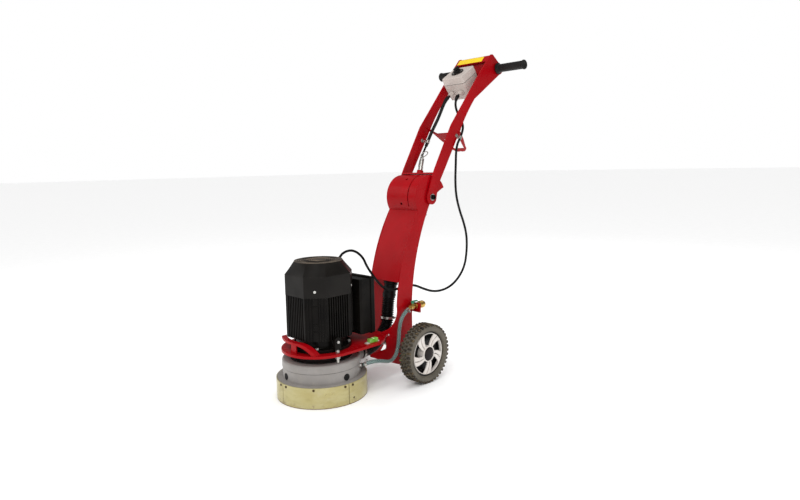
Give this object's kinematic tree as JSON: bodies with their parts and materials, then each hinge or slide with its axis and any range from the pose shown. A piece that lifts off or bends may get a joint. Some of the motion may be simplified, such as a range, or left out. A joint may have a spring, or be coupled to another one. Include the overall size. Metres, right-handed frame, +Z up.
{
  "type": "walk-behind concrete grinder",
  "caption": "Walk-behind electric floor grinder: vertical motor over a skirted disc head, curved column on wheels, folding handle with switch box, dust and water lines.",
  "frame": {"origin": "on the floor under the middle of the machine's length and width", "axes": "+Z up, -Y forward to the grinding head, +Y rearward to the operator, +X towards the side with the water valve"},
  "size_m": [0.422, 1.0358, 1.154],
  "materials": {
    "red_paint": "glossy powder coat",
    "black_paint": "satin paint",
    "cast_grey": "satin grey paint on casting",
    "yellow_zinc": "yellow passivated sheet",
    "zinc_steel": "bright zinc plate",
    "bare_steel": "machined",
    "diamond_matrix": "sintered",
    "rubber_black": "matte",
    "cord_black": "satin jacket",
    "tyre_rubber": "dusty",
    "rim_plastic": "silver moulded",
    "fan_plastic": "moulded",
    "black_plastic": "moulded",
    "beige_plastic": "moulded",
    "hose_teal": "clear tube, dulled",
    "brass": "turned",
    "green_grip": "dipped",
    "vial_green": "clear block"
  },
  "bodies": {
    "chassis": {"head_housing": "cast_grey", "housing_plugs": "rubber_black", "rubber_ring": "rubber_black", "skirt_band": "yellow_zinc", "skirt_segment": "yellow_zinc", "base_plate": "red_paint", "front_grip": "red_paint", "levelling_studs": "zinc_steel", "spirit_level": "vial_green", "motor_end_bell": "black_paint", "stator_frame": "black_paint", "stator_core": "bare_steel", "motor_end_shield": "black_paint", "fan_cover": "black_paint", "motor_bearings": "bare_steel", "capacitor_box": "black_paint", "capacitor_box_lid": "black_paint", "column_side_left": "red_paint", "column_side_right": "red_paint", "column_front_cover": "red_paint", "drum_cover": "red_paint", "pivot_tube": "zinc_steel", "fixing_screws": "zinc_steel", "axle": "zinc_steel", "dust_hose": "black_plastic", "dust_cuff": "black_plastic", "hose_clamps": "zinc_steel", "water_fitting": "zinc_steel", "water_hose": "hose_teal", "valve_body": "brass", "motor_cable_loop": "cord_black"},
    "spindle": {"motor_shaft": "bare_steel", "rotor_core": "bare_steel", "cooling_fan": "fan_plastic", "drive_hub": "bare_steel", "grinding_disc": "bare_steel", "diamond_segments": "diamond_matrix"},
    "wheel_left": {"tyre_left": "tyre_rubber", "rim_left": "rim_plastic"},
    "wheel_right": {"tyre_right": "tyre_rubber", "rim_right": "rim_plastic"},
    "handle": {"handle_arm_left": "red_paint", "handle_arm_right": "red_paint", "cross_plates": "red_paint", "brace_plate": "red_paint", "grips": "rubber_black", "switch_box_base": "beige_plastic", "switch_box_lid": "beige_plastic", "switch_seals": "rubber_black", "plunger_housing": "zinc_steel", "cable_clips": "zinc_steel", "supply_cord": "cord_black", "cord_sleeve": "rubber_black", "supply_plug": "black_plastic", "motor_cable_upper": "cord_black"},
    "knob": {"switch_knob": "black_plastic"},
    "plunger": {"index_pin": "zinc_steel"},
    "ring": {"pull_ring": "zinc_steel"},
    "lever": {"valve_lever": "green_grip"},
    "collar": {"coupling_sleeve": "brass"}
  },
  "joints": [
    {"name": "handle_fold", "type": "hinge", "parent": "chassis", "child": "handle", "pos_m": [0, 0.08489, 0.611], "axis": [1, 0, 0], "range_deg": [0, 120.9]},
    {"name": "index_pull", "type": "slide", "parent": "handle", "child": "plunger", "axis": [0, 0.2639, 0.9646], "range_m": [0, 0.008], "stiffness_N_per_m": 700, "springref_m": -0.006},
    {"name": "pull_ring_swing", "type": "hinge", "parent": "plunger", "child": "ring", "pos_m": [0, 0.12473, 0.75665], "axis": [1, 0, 0], "range_deg": [0, 90]},
    {"name": "wheel_left_spin", "type": "hinge", "parent": "chassis", "child": "wheel_left", "pos_m": [0, -0.08031, 0.1], "axis": [1, 0, 0], "continuous": true},
    {"name": "wheel_right_spin", "type": "hinge", "parent": "chassis", "child": "wheel_right", "pos_m": [0, -0.08031, 0.1], "axis": [1, 0, 0], "continuous": true},
    {"name": "spindle_spin", "type": "hinge", "parent": "chassis", "child": "spindle", "pos_m": [0, -0.37111, 0], "axis": [0, 0, 1], "continuous": true},
    {"name": "valve_turn", "type": "hinge", "parent": "chassis", "child": "lever", "pos_m": [0.09, -0.03711, 0.2518], "axis": [0, 0, -1], "range_deg": [0, 90]},
    {"name": "switch_turn", "type": "hinge", "parent": "handle", "child": "knob", "pos_m": [0, 0.34839, 1.0595], "axis": [0, -0.5373, 0.8434], "range_deg": [0, 90]},
    {"name": "collar_pull", "type": "slide", "parent": "chassis", "child": "collar", "axis": [0, -1, 0], "range_m": [0, 0.005], "stiffness_N_per_m": 400, "springref_m": -0.004}
  ]
}
